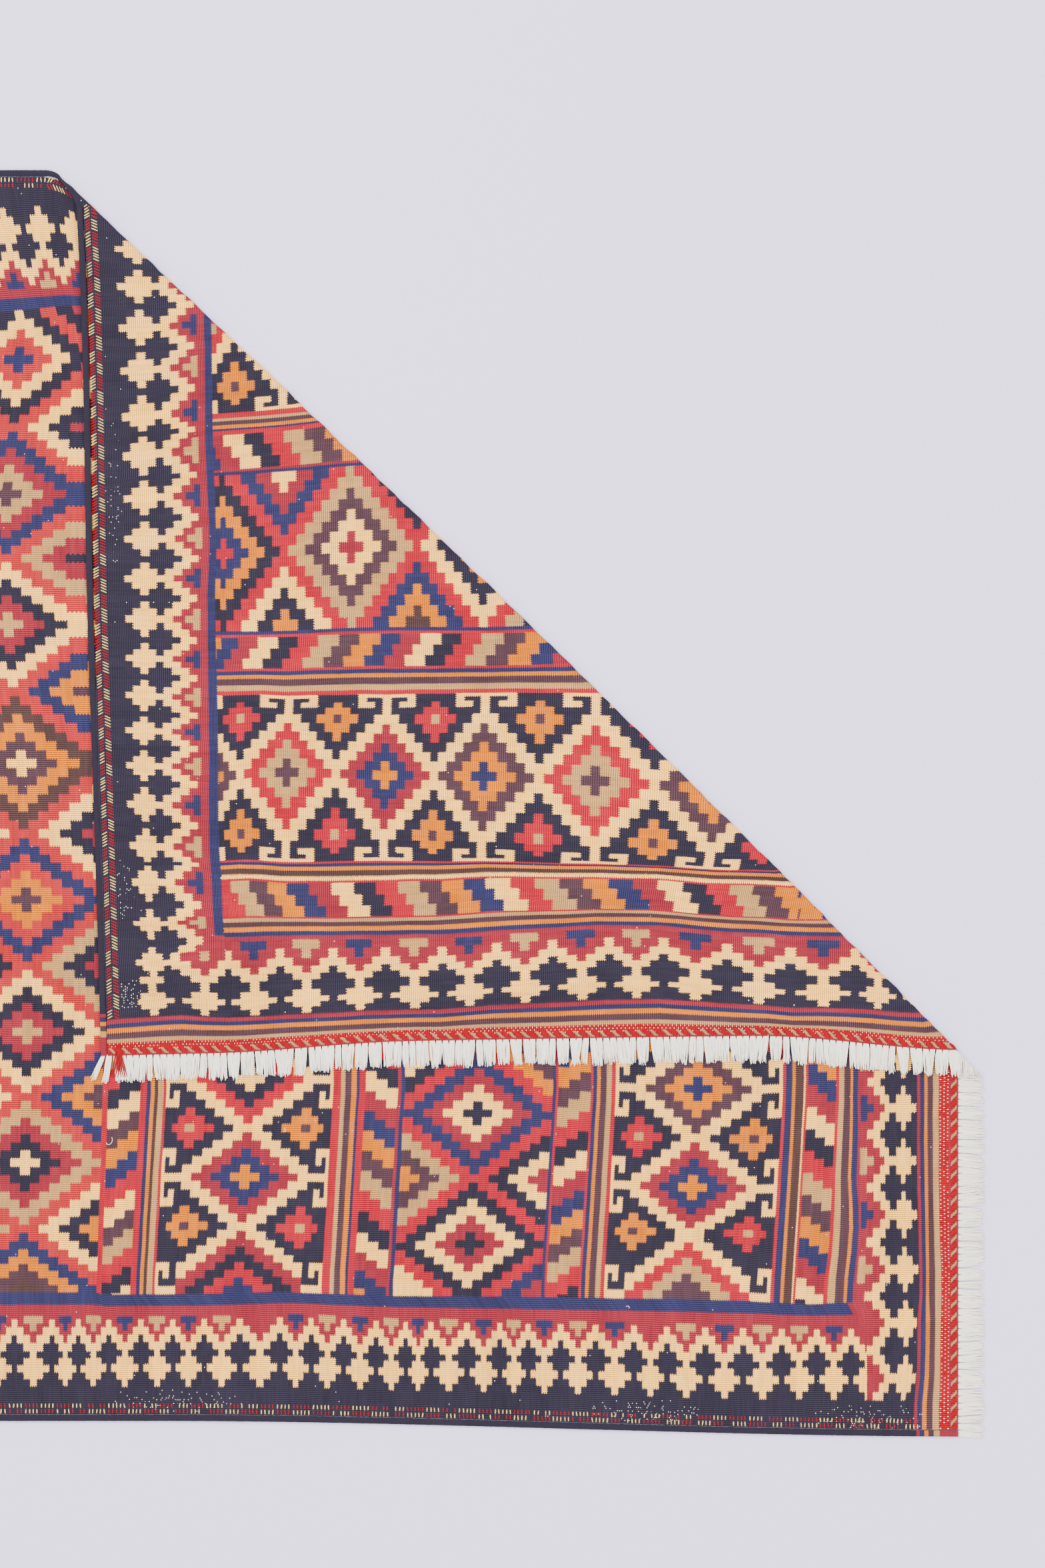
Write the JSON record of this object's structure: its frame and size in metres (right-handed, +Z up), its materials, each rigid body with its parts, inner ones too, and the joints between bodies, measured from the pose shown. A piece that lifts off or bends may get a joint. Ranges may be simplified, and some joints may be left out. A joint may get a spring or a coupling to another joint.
{
  "type": "kilim rug",
  "caption": "Flat-woven wool kilim rug lying flat with one corner folded back over it, corded along both sides and fringed at both ends.",
  "frame": {"origin": "centre of the bounding box, on the surface that the rug lies on", "axes": "+X along the rug's length towards the end whose corner is folded, +Y across its width towards the folded side, +Z up"},
  "size_m": [3.0679, 1.615, 0.013],
  "materials": {
    "woven_wool": "matt ribbed slit-tapestry wool in navy, madder red, cream, orange, blue, purple and grey",
    "cord_wool": "matt dark overcast wool",
    "fringe_cotton": "soft undyed cotton yarn"
  },
  "bodies": {
    "root": {"rug_cloth": "woven_wool", "selvedge_near": "cord_wool", "selvedge_far": "cord_wool", "fringe_right": "fringe_cotton", "fringe_flap": "fringe_cotton", "fringe_left": "fringe_cotton"}
  },
  "joints": []
}
